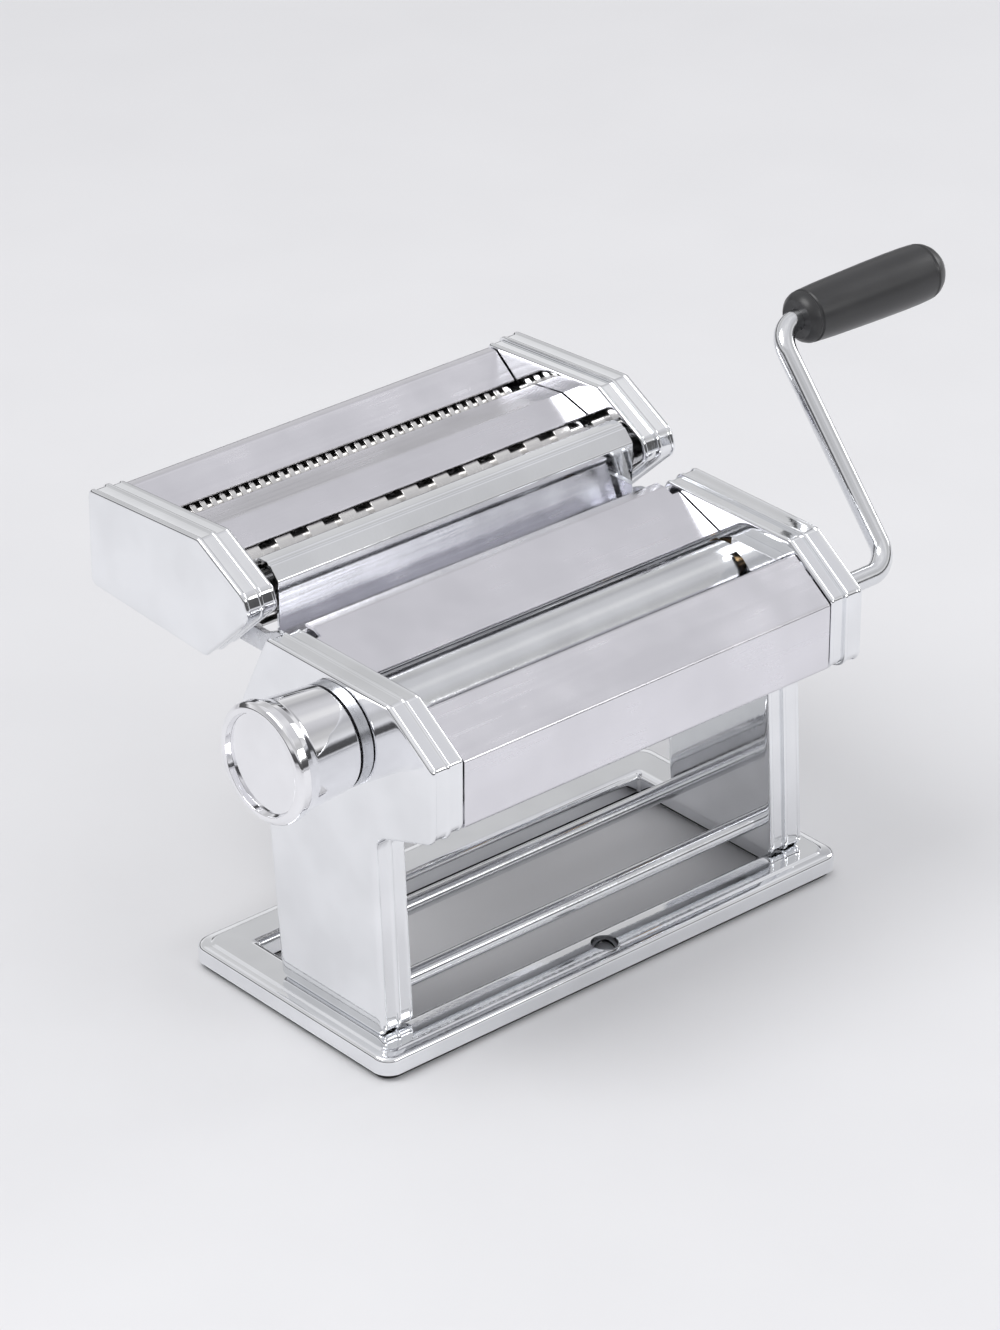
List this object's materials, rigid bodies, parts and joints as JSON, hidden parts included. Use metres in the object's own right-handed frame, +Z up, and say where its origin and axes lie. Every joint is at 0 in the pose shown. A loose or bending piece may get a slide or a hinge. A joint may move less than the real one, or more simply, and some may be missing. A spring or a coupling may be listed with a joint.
{
  "type": "pasta roller machine",
  "caption": "Hand-cranked pasta sheet roller with a thickness knob, an open pedestal base and a lift-off cutting head for wide and narrow strips.",
  "frame": {"origin": "centre of the base frame, on the table plane that the base pad rests on", "axes": "+X along the rollers towards the crank, +Y back towards the cutting head, +Z up"},
  "size_m": [0.3123, 0.167, 0.1799],
  "materials": {
    "polished_chrome": "mirror chrome plate",
    "knob_plate": "satin disc",
    "polished_steel": "polished stainless sheet, slightly soft",
    "roller_steel": "ground and plated",
    "cutter_steel": "turned and plated",
    "gear_steel": "cut teeth, lightly oiled",
    "zinc_steel": "bright zinc plate",
    "bearing_bronze": "turned bearing bronze",
    "spring_steel": "hardened strip and wire",
    "bright_rod": "bright plated rod",
    "black_grip": "satin moulded",
    "foot_rubber": "matte"
  },
  "bodies": {
    "frame": {"base_frame": "polished_chrome", "base_pad": "foot_rubber", "base_screws": "zinc_steel", "left_side_cover": "polished_chrome", "right_side_cover": "polished_chrome", "left_side_frame": "polished_chrome", "right_side_frame": "polished_chrome", "tie_rods": "zinc_steel", "cover_spacers": "zinc_steel", "hook_rails": "zinc_steel", "front_casing": "polished_steel", "rear_hopper_panel": "polished_steel", "rear_casing": "polished_steel", "dough_guides": "polished_chrome", "front_scraper": "spring_steel", "roller_bushes": "bearing_bronze", "regulator_bush": "bearing_bronze", "index_plate": "polished_chrome", "crank_bush": "bearing_bronze", "spring_posts": "zinc_steel"},
    "drive_roller": {"drive_roller": "roller_steel", "drive_gear": "gear_steel"},
    "carriage": {"left_bearing_block": "bearing_bronze", "right_bearing_block": "bearing_bronze", "carriage_link": "zinc_steel", "cam_follower": "zinc_steel", "rear_scraper": "spring_steel", "return_springs": "spring_steel"},
    "rear_roller": {"rear_roller": "roller_steel", "rear_gear": "gear_steel"},
    "regulator": {"regulator_shaft": "zinc_steel", "spiral_cam": "gear_steel", "regulator_nut": "zinc_steel"},
    "knob": {"regulator_knob": "polished_chrome", "knob_face": "knob_plate", "locating_pin": "zinc_steel", "knob_spring": "spring_steel"},
    "crank": {"crank_rod": "bright_rod", "grip_cap": "bright_rod"},
    "grip": {"crank_grip": "black_grip"},
    "cutting_head": {"left_head_cover": "polished_chrome", "right_head_cover": "polished_chrome", "left_head_frame": "polished_chrome", "right_head_frame": "polished_chrome", "head_tie_rods": "zinc_steel", "head_hooks": "zinc_steel", "hook_rivets": "zinc_steel", "rear_feed_plate": "polished_steel", "middle_feed_plate": "polished_steel", "front_feed_plate": "polished_steel", "wide_combs": "spring_steel", "narrow_combs": "spring_steel"},
    "wide_front_cutter": {"wide_front_cutter": "cutter_steel", "wide_front_gear": "gear_steel"},
    "wide_rear_cutter": {"wide_rear_cutter": "cutter_steel", "wide_rear_gear": "gear_steel"},
    "narrow_front_cutter": {"narrow_front_cutter": "cutter_steel", "narrow_front_gear": "gear_steel"},
    "narrow_rear_cutter": {"narrow_rear_cutter": "cutter_steel", "narrow_rear_gear": "gear_steel"}
  },
  "joints": [
    {"name": "crank_turn", "type": "hinge", "parent": "frame", "child": "drive_roller", "pos_m": [0, -0.0444, 0.1045], "axis": [1, 0, 0], "continuous": true},
    {"name": "roller_gap", "type": "slide", "parent": "frame", "child": "carriage", "axis": [0, -1, 0], "range_m": [0, 0.0025]},
    {"name": "rear_roller_turn", "type": "hinge", "parent": "carriage", "child": "rear_roller", "pos_m": [0, -0.0154, 0.1045], "axis": [1, 0, 0], "continuous": true},
    {"name": "regulator_turn", "type": "hinge", "parent": "frame", "child": "regulator", "pos_m": [-0.09, -0.0154, 0.1074], "axis": [1, 0, 0], "range_deg": [0, 320]},
    {"name": "knob_pull", "type": "slide", "parent": "regulator", "child": "knob", "axis": [-1, 0, 0], "range_m": [0, 0.005], "stiffness_N_per_m": 900, "springref_m": -0.003},
    {"name": "crank_pull", "type": "slide", "parent": "drive_roller", "child": "crank", "axis": [1, 0, 0], "range_m": [0, 0.04]},
    {"name": "grip_turn", "type": "hinge", "parent": "crank", "child": "grip", "pos_m": [0.1296, 0.01145, 0.16989], "axis": [1, 0, 0], "continuous": true},
    {"name": "head_lift", "type": "slide", "parent": "frame", "child": "cutting_head", "axis": [0, 0, 1], "range_m": [0, 0.05]},
    {"name": "wide_front_turn", "type": "hinge", "parent": "cutting_head", "child": "wide_front_cutter", "pos_m": [0, 0.0423, 0.128], "axis": [1, 0, 0], "continuous": true},
    {"name": "wide_rear_turn", "type": "hinge", "parent": "cutting_head", "child": "wide_rear_cutter", "pos_m": [0, 0.0577, 0.128], "axis": [1, 0, 0], "continuous": true},
    {"name": "narrow_front_turn", "type": "hinge", "parent": "cutting_head", "child": "narrow_front_cutter", "pos_m": [0, 0.0778, 0.128], "axis": [1, 0, 0], "continuous": true},
    {"name": "narrow_rear_turn", "type": "hinge", "parent": "cutting_head", "child": "narrow_rear_cutter", "pos_m": [0, 0.0932, 0.128], "axis": [1, 0, 0], "continuous": true}
  ],
  "couplings": [
    {"joint": "rear_roller_turn", "follows": "crank_turn", "ratio": -1},
    {"joint": "regulator_turn", "follows": "roller_gap", "rad_per_m": 2234},
    {"joint": "wide_rear_turn", "follows": "wide_front_turn", "ratio": -1},
    {"joint": "narrow_rear_turn", "follows": "narrow_front_turn", "ratio": -1}
  ]
}
